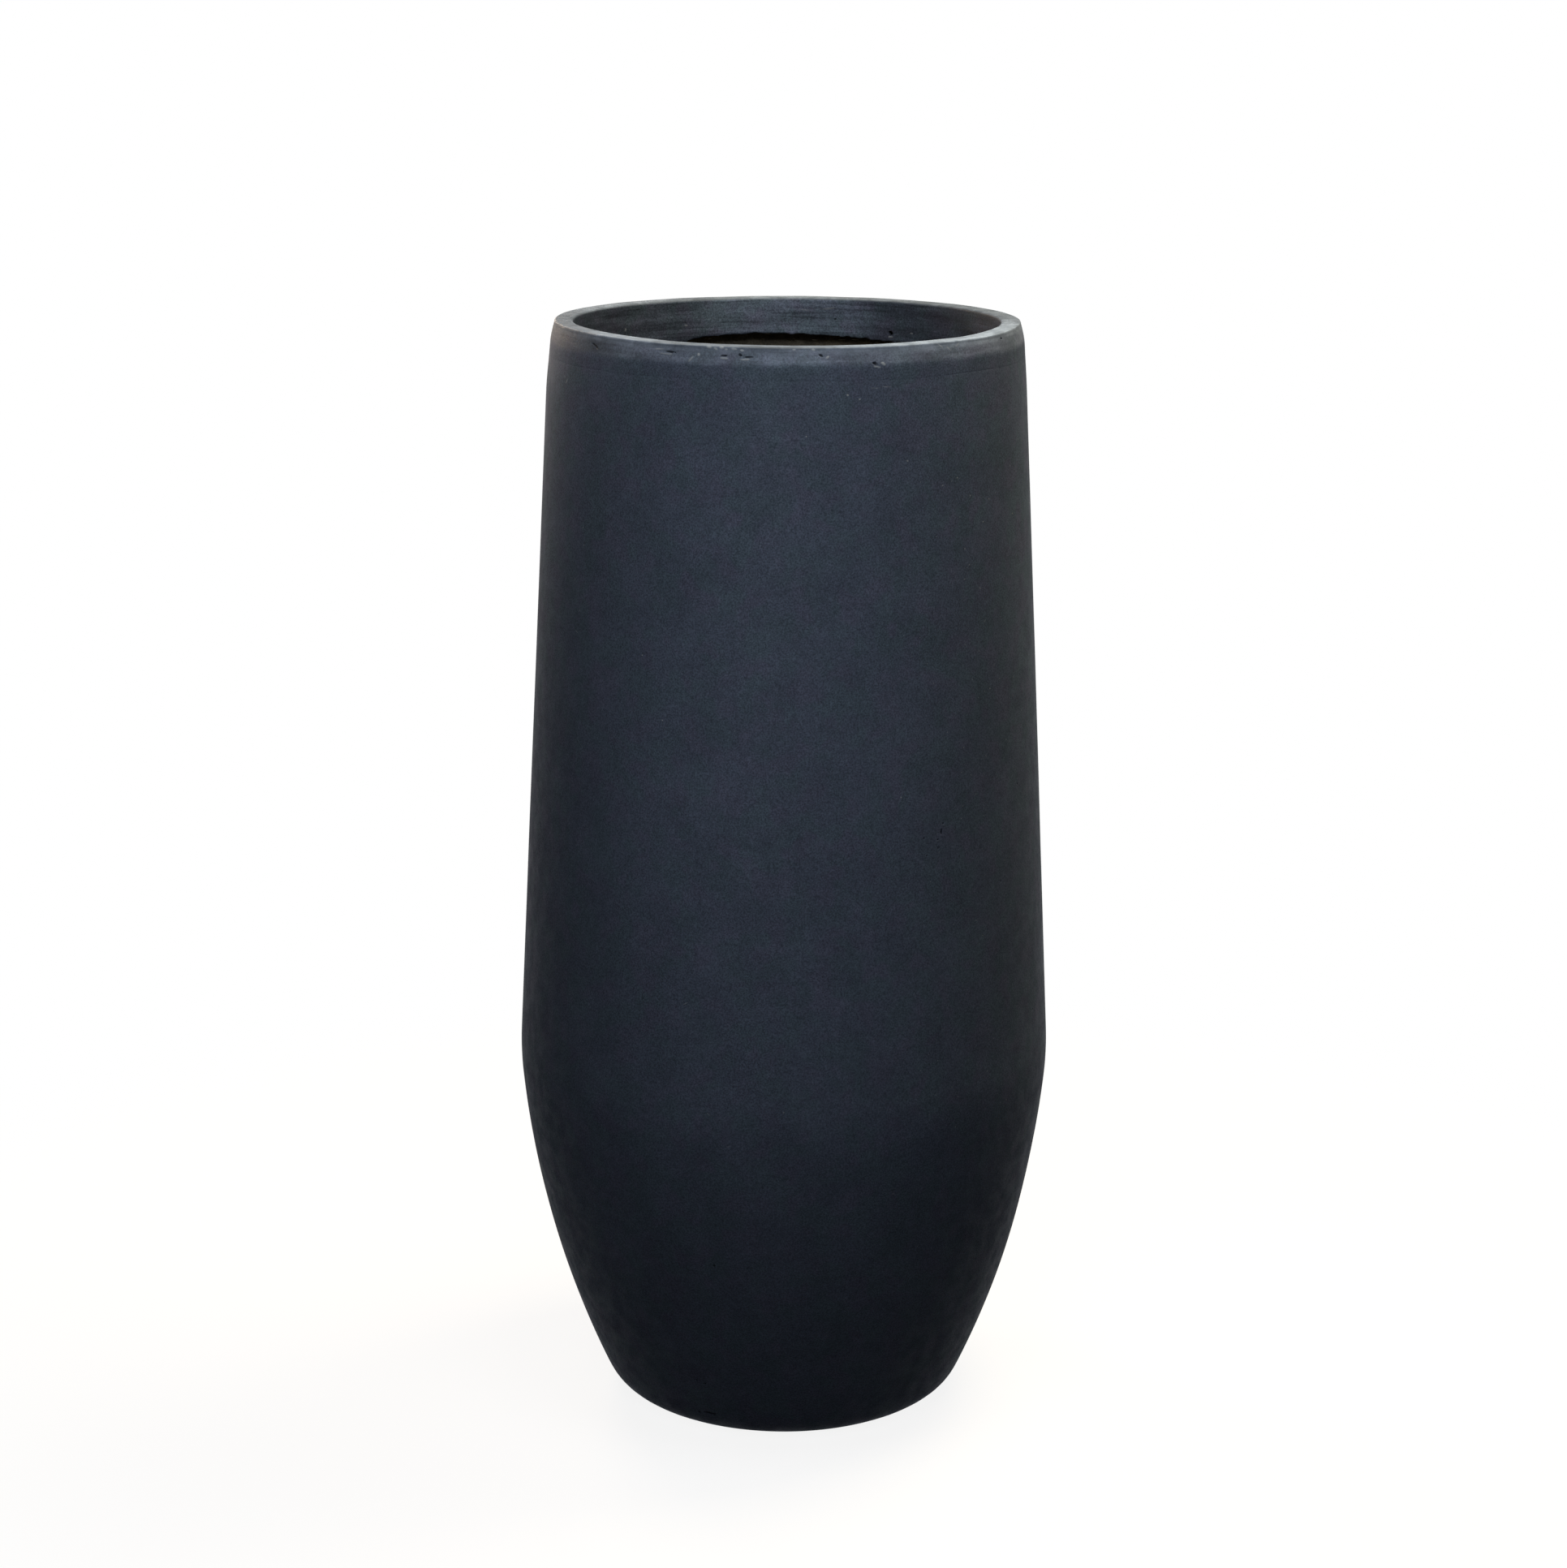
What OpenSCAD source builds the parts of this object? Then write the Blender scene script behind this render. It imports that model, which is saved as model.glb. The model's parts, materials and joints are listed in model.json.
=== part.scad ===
// Tall round floor planter in fibre-reinforced lightweight concrete.
// Millimetres, +Z up. The origin is on the planter's axis, on the surface that it stands on.
// The wall is a laminate of three layers, closed at the top by a thick rim with a hanging lip,
// and at the bottom by a cast floor with a sleeved drain hole, a rubber plug and rubber pads.

/* [Body] */
// Overall height, from the surface it stands on to the top of the rim
height = 600; // [520:10:760]
// Radius at the widest line, before that edge is softened
belly_r = 146.3; // [138:0.1:165]
// Height of the widest line above the underside of the base
belly_h = 197; // [160:1:240]
// Radius that softens the edge at the widest line
belly_soft_r = 170; // [80:5:260]
// Radius of the base, before its corner is rounded
base_r = 94; // [85:1:110]
// Radius of the rounded corner under the base
base_corner_r = 22; // [14:1:26]
// Radius of the long curve from the base to the widest line
lower_curve_r = 545; // [350:5:1200]
// Radius of the body where the wall meets the rim
neck_r = 125.8; // [120:0.1:138]

/* [Wall] */
// Thickness of the pigmented face coat
face_t = 3; // [2:0.5:4]
// Thickness of the glass-fibre mat
mat_t = 1; // [0.5:0.5:2]
// Thickness of the structural backing wall
backing_t = 4; // [3:0.5:6]

/* [Rim] */
// Height of the rim's outer band
rim_h = 10; // [8:0.5:16]
// How far the band leans in over its height
rim_lean = 2.7; // [0.5:0.1:4]
// Radius of the mouth, inside the lip
mouth_r = 112.5; // [106:0.5:114]
// Height of the lip's inner face, from the top of the rim down
lip_h = 20; // [18:1:40]
// Radius of the rim's outer top edge
rim_outer_edge_r = 2; // [1:0.5:3]
// Radius of the rim's inner top edge
rim_inner_edge_r = 3; // [1:0.5:4]
// Radius of the lip's lower edge
lip_edge_r = 1; // [0.5:0.5:1.5]

/* [Floor] */
// Thickness of the cast floor at its edge
floor_t = 12; // [8:1:20]
// Fall of the floor from its edge to the drain
floor_fall = 3; // [1:0.5:5]
// Radius of the level seat round the drain
drain_seat_r = 24; // [22:1:30]

/* [Drain] */
// Bore radius of the drain sleeve
drain_r = 12.5; // [9:0.5:15]
// Wall thickness of the drain sleeve
sleeve_t = 1.5; // [1:0.5:3]

/* [Plug] */
// Radial clearance of the plug's sealing ribs in the sleeve
plug_clearance = 0.05; // [0.02:0.01:0.1]
// Radius of the plug's flange
flange_r = 19; // [17.5:0.5:21]
// Thickness of the plug's flange
flange_t = 3; // [2:0.5:5]
// Height of the plug's tip above the underside of the base
plug_tip_h = 4; // [2:0.5:6]
// How much narrower the plug's tip is than its ribs
plug_tip_taper = 2; // [1:0.5:4]
// Number of sealing ribs
rib_count = 3; // [2:1:3]
// How far the ribs stand out of the stem
rib_h = 0.6; // [0.3:0.1:1]
// Distance between the ribs
rib_pitch = 3.5; // [3:0.5:4]
// Radius of the grip's head
grip_r = 6.5; // [5.5:0.5:9]
// Radius of the grip's neck
grip_neck_r = 4; // [2.5:0.5:4.5]
// Height of the grip above the flange
grip_h = 12; // [10.5:0.5:16]

/* [Feet] */
// Number of rubber pads under the base
pad_count = 4; // [3:1:6]
// Radius of a pad
pad_r = 12; // [8:1:14]
// Thickness of a pad
pad_t = 3; // [2:0.5:5]
// Depth of the pocket that a pad is glued in
pad_pocket_d = 1; // [0.5:0.5:1.5]
// Gap round a pad in its pocket
pad_gap = 0.3; // [0.2:0.1:0.5]
// Radius of the circle that the pads lie on
pad_circle_r = 58; // [45:1:60]
// Bevel of a pad's lower edge
pad_bevel = 0.5; // [0.2:0.1:0.8]

/* [Hidden] */
$fn = 180;

CONCRETE = [0.17, 0.19, 0.22];
RIM_CONCRETE = [0.26, 0.29, 0.32];
RAW_CONCRETE = [0.36, 0.33, 0.28];
GLASS_FIBRE = [0.80, 0.80, 0.74];
SLEEVE_GREY = [0.45, 0.46, 0.47];
BLACK_RUBBER = [0.07, 0.07, 0.07];

// Steps along each rounded stretch of the outline
corner_steps = 10;
lower_steps = 24;
belly_steps = 12;
edge_steps = 5;

wall_t = face_t + mat_t + backing_t;
base_z = pad_t - pad_pocket_d;
neck_z = height - rim_h;
lip_z = height - lip_h;
sleeve_r = drain_r + sleeve_t;
floor_bottom_z = base_z + wall_t;
floor_edge_z = floor_bottom_z + floor_t;
drain_seat_z = floor_edge_z - floor_fall;

function dot(a, b) = a[0] * b[0] + a[1] * b[1];
function unit(v) = v / norm(v);
function turned_left(v) = [-v[1], v[0]];
function angle_of(v) = atan2(v[1], v[0]);
function reversed(points) = [for (i = [len(points) - 1:-1:0]) points[i]];

// Points on an arc about c, from angle a0 to a1, without the first one when skip is 1
function arc_points(c, r, a0, a1, steps, skip = 0) =
    [for (i = [skip:steps]) let (a = a0 + (a1 - a0) * i / steps) c + r * [cos(a), sin(a)]];

// The outline's corners in the plane of radius and height
base_point = [base_r, base_z];
belly_point = [belly_r, base_z + belly_h];
neck_point = [neck_r, neck_z];

// The long lower curve goes through the base point and the belly point
lower_chord = belly_point - base_point;
lower_c = (base_point + belly_point) / 2
    + turned_left(unit(lower_chord)) * sqrt(lower_curve_r ^ 2 - norm(lower_chord) ^ 2 / 4);

// The base corner touches the level underside and the lower curve
corner_c_z = base_z + base_corner_r;
corner_c = [lower_c[0] + sqrt((lower_curve_r - base_corner_r) ^ 2 - (corner_c_z - lower_c[1]) ^ 2),
    corner_c_z];
corner_end_a = angle_of(corner_c - lower_c);

// The belly's soft edge touches the lower curve and the straight upper wall
upper_dir = unit(neck_point - belly_point);
soft_start = belly_point + turned_left(upper_dir) * belly_soft_r - lower_c;
soft_along = -dot(soft_start, upper_dir);
soft_shift = soft_along
    - sqrt(soft_along ^ 2 - norm(soft_start) ^ 2 + (lower_curve_r - belly_soft_r) ^ 2);
soft_c = lower_c + soft_start + upper_dir * soft_shift;
soft_start_a = angle_of(soft_c - lower_c);
upper_a = angle_of(-turned_left(upper_dir));

// Radius of the upper wall at height z, inset by t from the outside
function upper_wall_r(t, z) = neck_r - t / cos(upper_a) + (neck_z - z) * tan(upper_a);

// The wall's outline inset by t, from the level underside up to the neck
function wall_curve(t) = concat(
    arc_points(corner_c, base_corner_r - t, -90, corner_end_a, corner_steps),
    arc_points(lower_c, lower_curve_r - t, corner_end_a, soft_start_a, lower_steps, 1),
    arc_points(soft_c, belly_soft_r - t, soft_start_a, upper_a, belly_steps, 1),
    [[upper_wall_r(t, neck_z), neck_z]]);

// One layer of the laminate, between the insets t0 and t1, with the sleeve's hole in its base
module wall_layer(t0, t1) {
    rotate_extrude()
        polygon(concat(
            [[sleeve_r, base_z + t0]], wall_curve(t0),
            reversed(wall_curve(t1)), [[sleeve_r, base_z + t1]]));
}

// Repeats its children at each pad's place
module at_pads() {
    for (i = [0:pad_count - 1])
        rotate([0, 0, 360 * (i + 0.5) / pad_count])
            translate([pad_circle_r, 0, 0])
                children();
}

// Smooth dark outer skin of pigmented cement, with pockets for the pads
module face_coat() {
    color(CONCRETE)
        difference() {
            wall_layer(0, face_t);
            at_pads()
                cylinder(h = base_z + pad_pocket_d, r = pad_r + pad_gap);
        }
}

// Glass-fibre reinforcement, laid between the face coat and the backing
module fibre_mat() {
    color(GLASS_FIBRE)
        wall_layer(face_t, face_t + mat_t);
}

// Rough structural wall of fibre cement, which shows inside the planter
module backing_wall() {
    color(RAW_CONCRETE)
        wall_layer(face_t + mat_t, wall_t);
}

// Thick hand-trowelled rim: it caps the wall, and its lip hangs inside the wall
module rim_ring() {
    band_a = atan2(rim_lean, rim_h);
    outer_c_z = height - rim_outer_edge_r;
    outer_c = [neck_r - rim_lean * (outer_c_z - neck_z) / rim_h - rim_outer_edge_r / cos(band_a),
        outer_c_z];
    inner_c = [mouth_r + rim_inner_edge_r, height - rim_inner_edge_r];
    lip_c = [mouth_r + lip_edge_r, lip_z + lip_edge_r];
    color(RIM_CONCRETE)
        rotate_extrude()
            polygon(concat(
                [neck_point],
                arc_points(outer_c, rim_outer_edge_r, band_a, 90, edge_steps),
                arc_points(inner_c, rim_inner_edge_r, 90, 180, edge_steps),
                arc_points(lip_c, lip_edge_r, 180, 270, edge_steps),
                [[upper_wall_r(wall_t, lip_z), lip_z], [upper_wall_r(wall_t, neck_z), neck_z]]));
}

// Cast floor that fills the bottom of the wall and falls towards the drain
module floor_slab() {
    inside = wall_curve(wall_t);
    edge_r = lookup(floor_edge_z, [for (p = inside) [p[1], p[0]]]);
    color(RAW_CONCRETE)
        rotate_extrude()
            polygon(concat(
                [[sleeve_r, floor_bottom_z]],
                [for (p = inside) if (p[1] < floor_edge_z) p],
                [[edge_r, floor_edge_z], [drain_seat_r, drain_seat_z], [sleeve_r, drain_seat_z]]));
}

// Plastic sleeve cast in through the floor, flush at both ends
module drain_sleeve() {
    color(SLEEVE_GREY)
        rotate_extrude()
            polygon([[drain_r, base_z], [sleeve_r, base_z],
                [sleeve_r, drain_seat_z], [drain_r, drain_seat_z]]);
}

// Rubber stopper with a tapered tip, sealing ribs, a flange and a grip
module drain_plug() {
    rib_r = drain_r - plug_clearance;
    stem_r = rib_r - rib_h;
    tip_z = base_z + plug_tip_h;
    tip_r = rib_r - plug_tip_taper;
    top_z = drain_seat_z + flange_t;
    edge_r = flange_t / 4;
    head_r = (grip_h - grip_neck_r) / 2;
    head_c = [grip_r - head_r, top_z + grip_h - head_r];
    ribs = [for (i = [rib_count:-1:1]) let (z = drain_seat_z - i * rib_pitch)
        each [[stem_r, z - rib_h], [rib_r, z], [stem_r, z + rib_h]]];
    color(BLACK_RUBBER)
        rotate_extrude()
            polygon(concat(
                [[0, tip_z], [tip_r, tip_z]], ribs,
                [[stem_r, drain_seat_z], [flange_r, drain_seat_z]],
                arc_points([flange_r - edge_r, top_z - edge_r], edge_r, 0, 90, edge_steps),
                [[grip_neck_r, top_z]],
                arc_points(head_c, head_r, -60, 90, 2 * edge_steps),
                [[0, top_z + grip_h]]));
}

// Round rubber pads glued in their pockets, which keep the drain off the surface
module foot_pads() {
    color(BLACK_RUBBER)
        at_pads()
            rotate_extrude()
                polygon([[0, 0], [pad_r - pad_bevel, 0], [pad_r, pad_bevel],
                    [pad_r, pad_t], [0, pad_t]]);
}

face_coat();
fibre_mat();
backing_wall();
rim_ring();
floor_slab();
drain_sleeve();
drain_plug();
foot_pads();
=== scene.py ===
import json
import math

import bmesh
import bpy
from mathutils import Euler, Matrix, Quaternion, Vector, kdtree, noise


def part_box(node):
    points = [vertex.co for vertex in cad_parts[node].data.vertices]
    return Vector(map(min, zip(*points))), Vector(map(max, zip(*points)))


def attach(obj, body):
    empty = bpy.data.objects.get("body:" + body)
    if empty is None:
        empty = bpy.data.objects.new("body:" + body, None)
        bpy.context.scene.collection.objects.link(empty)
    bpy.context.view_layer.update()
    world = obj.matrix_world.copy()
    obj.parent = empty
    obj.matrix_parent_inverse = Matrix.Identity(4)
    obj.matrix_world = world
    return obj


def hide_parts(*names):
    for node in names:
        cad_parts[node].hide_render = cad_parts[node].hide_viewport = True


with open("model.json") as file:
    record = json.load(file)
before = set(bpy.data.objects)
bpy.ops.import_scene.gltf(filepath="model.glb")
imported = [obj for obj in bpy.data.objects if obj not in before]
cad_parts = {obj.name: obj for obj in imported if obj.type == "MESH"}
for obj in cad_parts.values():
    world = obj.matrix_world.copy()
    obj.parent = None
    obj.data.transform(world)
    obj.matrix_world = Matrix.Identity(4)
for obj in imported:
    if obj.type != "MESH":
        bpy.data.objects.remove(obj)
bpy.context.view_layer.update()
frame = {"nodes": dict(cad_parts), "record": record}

# Sizes that come from the frame

MM = 0.001
MOUTH_R = next(m for m in frame["record"]["mounts"] if m["name"] == "mouth")["dims"]["r_mm"] * MM
RIM_LOW, RIM_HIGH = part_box("rim_ring")
FLOOR_LOW, FLOOR_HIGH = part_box("floor_slab")
NECK_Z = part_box("face_coat")[1].z
NECK_R = RIM_HIGH.x
TOP_Z = RIM_HIGH.z
LIP_Z = RIM_LOW.z
UNDER_FLOOR_Z = FLOOR_LOW.z + 4 * MM
PLUG_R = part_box("drain_plug")[1].x

# Sizes of the drawing that no box gives; the wall leans in by so much for each metre of height

BELLY_Z = 197 * MM
RIM_INNER_ROUND = 3 * MM
RIM_OUTER_ROUND = 2 * MM
RIM_CORNER_R = 123.5 * MM
BAND_LEAN = 2.7 * MM
WALL_LEAN = 0.0524

# How finely the pieces are divided; the steps round the axis are multiples of the sectors

DOUBLINGS = 4
SECTORS = 2 ** DOUBLINGS
COAT_STEPS = 288
COAT_SPACING = 4.6 * MM
COAT_TOP_SPACING = COAT_SPACING / 5
RIM_STEPS = 848
RIM_SPACING = 0.85 * MM
RIM_FOOT_SPACING = RIM_SPACING / 2
RIM_COVERED_SPACING = 2.5 * MM
BACKING_STEPS = 304
BACKING_SPACING = 3.4 * MM
FLOOR_STEPS = 224
FLOOR_SPACING = 1.8 * MM
HIDDEN_SPACING = 20 * MM
MARK_SPACING = 0.36 * MM
SAME_PLACE = 0.01 * MM
SHARP_ANGLE = math.radians(38)

# How the cast wall strays from the drawing, in mm: its waves, calmer and drawn in at the widest line

WIDE_WAVE = 0.13
SMALL_WAVE = 0.07
BELLY_CALM = 0.75
BELLY_DRAWN_IN = 0.09
BELLY_REACH = 65 * MM

# The azimuths where the top of the wall is thinned, each with how many mm, and the foot's bulge in mm

THINNED = ((-80, 1.25), (80, 0.5))
THINNED_SPREAD = 26
THINNED_FROM = 28 * MM
FOOT_BULGE = 0.9
FOOT_AZIMUTH = 75
FOOT_SPREAD = 40
FOOT_FULL_Z = 60 * MM
FOOT_END_Z = 150 * MM

# The coat's skin, and how far its top is cut back under the band that runs down over it

SKIN = 1 * MM
CUT_BACK = 0.5 * MM

# The low stretch of the rim's top: how low, how deep it reaches, its middle, and degrees to each end

DIP = 1.15 * MM
DIP_REACH = 7 * MM
DIP_AZIMUTH = 12
DIP_SPREAD = 75

# The band runs so many mm down over the coat, stands proud of it, and thins out for each metre down

BAND_RUN = 9
BAND_PROUD = 0.06 * MM
BAND_THINS = 0.011

# The lip's lower edge: where it hangs least, how fast it sinks from there, and its least and most in mm

LIP_AZIMUTH = 189
LIP_SINKS_RIGHT = 0.0019
LIP_SINKS_LEFT = 0.0072
LIP_LEAST = 0.3
LIP_MOST = 3.2

# How square the rim's rounded upper corners get, where 2 is a circle

CRISPNESS = 4

# Marks: how far a mark reaches, as a share of its length, and how uneven its edge is

MARK_REACH = 0.8
MARK_UNEVEN = 0.3

# The camera, fitted to the outline in the photograph

CAMERA_PLACE = Vector((-0.0008, -1.7, 0.7783))
CAMERA_TILT = math.radians(14.25)
CAMERA_ROLL = math.radians(0.245)
CAMERA_LENS = 73.63

# The studio: the floor, where the planter's shadow on it fades out, and the weak light of the world

STAGE_R = 30.0
STAGE_SIDES = 96
FLOOR_GAP = 0.2 * MM
SHADOW_FROM = 0.18
SHADOW_TO = 0.75
SHADOW_SHARE = 0.12
WORLD_LIGHT = 0.02

# Colours, as linear red, green and blue

SLATE = (0.028, 0.035, 0.050)
TEAL_GREY = (0.0265, 0.036, 0.048)
PURPLE_GREY = (0.030, 0.0345, 0.051)
PASTE_GREY = (0.033, 0.037, 0.046)
PALE_SPECK = (0.11, 0.12, 0.13)
# Pale flecks on the rim, and painted highlights on its burrs and on a bubble's lower edge
RIM_FLECK_AND_HIGHLIGHT = (0.115, 0.128, 0.142)
# Painted shade for the insides of holes, nicks and bubbles
PAINTED_HOLE_SHADE = (0.009, 0.011, 0.014)
# The rim top's colours, lighter than the pigment partly from wear and partly as a painted reflection
WORN_LIT_TOP_DARK = (0.033, 0.041, 0.053)
WORN_LIT_TOP_PALE = (0.054, 0.066, 0.085)
MORTAR_DARK = (0.024, 0.022, 0.018)
MORTAR_LIGHT = (0.075, 0.068, 0.052)
GLASS_STRAND = (0.42, 0.41, 0.36)
MAT_CEMENT = (0.22, 0.21, 0.18)
PIPE_GREY = (0.15, 0.155, 0.16)
PIPE_SCUFFED = (0.21, 0.21, 0.205)
RUBBER = (0.011, 0.011, 0.012)
RUBBER_DUST = (0.042, 0.040, 0.037)
WHITE = (1, 1, 1)
FLOOR_BOUNCE = (0.045, 0.045, 0.048)
FLOOR_PALE = (0.8, 0.8, 0.8)
WORLD_TINT = (0.90, 0.96, 1.0)

# Marks in the surface, as seen in the photograph


def hollow(azimuth, height, width, tall, depth, painted_shade=0.8, lean=0):
    """An open bubble or a nick: its size and depth in mm, how strong its painted shade is, and how it leans
    in degrees.
    """
    return azimuth, height, width, tall, lean, depth, -painted_shade


def fleck(azimuth, height, pale, width=0.8, tall=0.8, lean=0, rise=0.05):
    """A pale splash of cement, or a burr whose paleness is a painted highlight, a little proud of the
    surface.
    """
    return azimuth, height, width, tall, lean, -rise, pale


def scratch(azimuth, height, length, lean, pale, width=0.5, depth=0.05):
    """A fine pale scratch."""
    return azimuth, height, length, width, lean, depth, pale


COAT_MARKS = (
    # Open air bubbles, with painted shade in them
    hollow(35.5, 350.5, 1.4, 3.4, 1.6, painted_shade=0.9),
    hollow(36.0, 354.5, 1.1, 1.1, 1.0),
    hollow(31.0, 348.5, 1.0, 1.0, 0.9),
    hollow(34.5, 346.5, 1.1, 1.0, 0.9),
    hollow(34.6, 342.0, 1.0, 1.4, 0.9),
    hollow(31.6, 339.0, 0.9, 0.9, 0.8),
    hollow(54.0, 315.5, 1.0, 1.0, 0.9),
    hollow(62.5, 363.5, 1.1, 1.1, 0.9),
    hollow(-15.6, 118.0, 1.6, 1.4, 1.2, painted_shade=1.0),
    hollow(-25.0, 39.5, 1.8, 1.4, 1.2, painted_shade=1.0),
    hollow(-22.5, 38.0, 1.6, 1.6, 1.2, painted_shade=1.0),
    hollow(-23.0, 16.5, 8.6, 2.2, 1.5, painted_shade=1.0),
    hollow(-26.8, 15.8, 3.4, 1.5, 1.0, painted_shade=0.9, lean=12),
    hollow(68.4, 235.5, 1.5, 0.9, 0.9),
    # Pale specks of splashed cement
    fleck(28.0, 541.5, 0.8, 1.1, 0.7, lean=35),
    fleck(41.9, 530.5, 0.8),
    fleck(37.4, 527.5, 0.8, 0.8, 0.7),
    fleck(46.0, 520.5, 0.7),
    fleck(52.9, 517.0, 0.7),
    fleck(64.0, 506.0, 0.8, 0.9, 0.9),
    fleck(50.4, 506.0, 0.9, 0.9, 0.7),
    fleck(43.8, 494.0, 0.7),
    fleck(43.5, 478.5, 0.7),
    fleck(45.2, 485.5, 0.7),
    fleck(-52.2, 492.5, 0.6, 0.9, 0.8),
    fleck(-55.4, 474.0, 0.6),
    fleck(-52.7, 501.5, 0.6),
    fleck(-53.0, 458.5, 0.6),
    fleck(-72.0, 207.5, 0.5, 0.9, 0.9),
    fleck(-66.4, 205.5, 0.5),
    fleck(-57.9, 265.0, 0.5),
    fleck(-34.7, 89.0, 0.6, 0.9, 0.7),
    fleck(-32.0, 54.5, 0.6, 0.9, 0.7),
    fleck(38.3, 190.5, 0.5),
    fleck(23.9, 159.0, 0.5),
    fleck(59.3, 145.0, 0.5, 0.9, 0.8),
    fleck(0.0, 209.5, 0.5),
    # Fine scratches, the last two in one line
    scratch(-54.0, 447.0, 3.0, 20, 0.5),
    scratch(-20.8, 264.0, 3.2, -30, 0.4),
    scratch(-15.4, 206.5, 2.6, 40, 0.4),
    scratch(-11.3, 189.5, 2.6, -20, 0.4),
    scratch(48.7, 472.5, 3.0, 25, 0.5),
    scratch(50.2, 455.0, 2.6, -35, 0.5),
    scratch(-63.2, 573.5, 3.4, -55, 0.7, width=0.6),
    scratch(-64.5, 575.5, 2.0, 50, 0.6),
    scratch(20.2, 578.4, 5.6, 3, 0.35, depth=0.03),
    scratch(23.0, 578.8, 5.6, 3, 0.35, depth=0.03),
    # Two flecks between the rim and that line
    fleck(13.7, 575.4, 0.9, 1.2, 1.0, lean=30),
    fleck(16.5, 573.2, 0.8, 1.2, 0.9, lean=-20))

# Marks in the rim; past 90 degrees they are in the lip's inner face
RIM_MARKS = (
    # Long nicks with painted shade in them, each with a burr under it whose paleness is a painted highlight
    hollow(-27.5, 594.8, 7.0, 1.1, 0.6, lean=3),
    fleck(-30.6, 595.8, 0.7, 6.0, 0.8, lean=-3, rise=0.06),
    fleck(-28.5, 593.8, 0.7, 8.0, 0.8, lean=3, rise=0.08),
    hollow(-14.3, 594.2, 3.8, 1.1, 0.7),
    fleck(-14.3, 593.0, 0.8, 4.2, 0.9, lean=2, rise=0.08),
    hollow(-10.6, 594.7, 2.4, 1.5, 0.8, painted_shade=0.85, lean=25),
    hollow(-8.6, 593.8, 5.4, 0.9, 0.5, painted_shade=0.7, lean=-3),
    fleck(-9.5, 592.7, 0.9, 6.0, 0.9, lean=-3, rise=0.08),
    hollow(-51.0, 594.0, 8.0, 1.2, 0.6, painted_shade=0.9, lean=20),
    # Short nicks with painted shade in them, and their burrs, whose paleness is a painted highlight
    hollow(7.7, 594.8, 2.8, 1.4, 0.8, painted_shade=0.85, lean=35),
    fleck(9.2, 594.0, 0.9, 2.4, 1.2, lean=-35, rise=0.12),
    hollow(20.2, 590.4, 3.6, 1.6, 0.7, painted_shade=0.9, lean=20),
    fleck(22.2, 590.2, 1.0, 3.2, 1.4, lean=25, rise=0.10),
    fleck(20.6, 588.8, 0.8, 4.6, 0.9, lean=12, rise=0.06),
    hollow(62.0, 596.4, 2.4, 1.0, 0.5, painted_shade=0.6, lean=20),
    # Pale chafed flecks under the edge, and longer ones further right
    fleck(-18.0, 598.1, 1.0, 3.0, 1.4),
    fleck(-16.4, 597.5, 0.9, 2.2, 1.2, lean=25),
    fleck(-15.0, 598.1, 1.0, 2.6, 1.4, lean=-10),
    fleck(-13.9, 597.3, 0.9, 1.8, 1.1),
    fleck(-12.1, 597.6, 0.9, 3.4, 1.2, lean=5),
    fleck(-10.2, 597.0, 1.0, 2.2, 1.1),
    fleck(-20.4, 594.4, 1.0, 1.6, 1.6),
    fleck(-22.2, 592.0, 0.6, 4.4, 1.3, lean=-50, rise=0.03),
    fleck(6.0, 597.6, 1.0, 2.0, 1.2),
    fleck(1.6, 597.6, 0.9, 2.2, 1.1),
    fleck(38.0, 597.0, 0.5, 4.6, 0.8, lean=35),
    fleck(40.5, 595.2, 0.45, 4.2, 0.8, lean=40),
    fleck(43.5, 596.6, 0.5, 3.8, 0.8, lean=-30),
    # The open bubble in the lip, with painted shade in it and a painted highlight on its lower edge, and
    # smaller flaws beside it
    hollow(149.0, 581.8, 2.9, 2.7, 2.4, painted_shade=1.0),
    fleck(149.0, 579.8, 0.6, 3.4, 1.2, rise=0.2),
    fleck(142.0, 582.6, 0.45, 2.0, 1.1),
    hollow(166.0, 588.0, 1.9, 1.2, 0.5, painted_shade=0.6),
    fleck(-150.0, 585.5, 0.4, 2.4, 1.0, lean=10),
    fleck(-128.0, 586.0, 0.3, 1.6, 2.2, lean=30),
    fleck(168.0, 594.0, 0.3, 9.0, 1.2, lean=-8),
    fleck(175.0, 593.0, 0.25, 6.0, 1.0, lean=5))


# Places and noise


def azimuth_of(co):
    """Degrees round the planter from the front, positive towards the right."""
    return math.degrees(math.atan2(co.x, -co.y))


def on_planter(azimuth, radius, height):
    """The point at an azimuth in degrees, a radius and a height."""
    a = math.radians(azimuth)
    return Vector((radius * math.sin(a), -radius * math.cos(a), height))


def smooth_step(low, high, value):
    """Rises smoothly from 0 at low to 1 at high."""
    t = min(max((value - low) / (high - low), 0), 1)
    return t * t * (3 - 2 * t)


def bell(offset, width):
    """1 at no offset, less than half at the width, and next to nothing at twice the width."""
    return math.exp(-(offset / width) ** 2)


def grain(co, size, along=1.0, seed=0.0):
    """Noise from -1 to 1 whose lumps have that size, drawn out along the circle by the factor along."""
    radius = math.hypot(co.x, co.y)
    across = (co.z + 0.8 * radius) / size
    return noise.noise(Vector((co.x / size / along + seed, co.y / size / along, across)))


# Mesh tools


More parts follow.
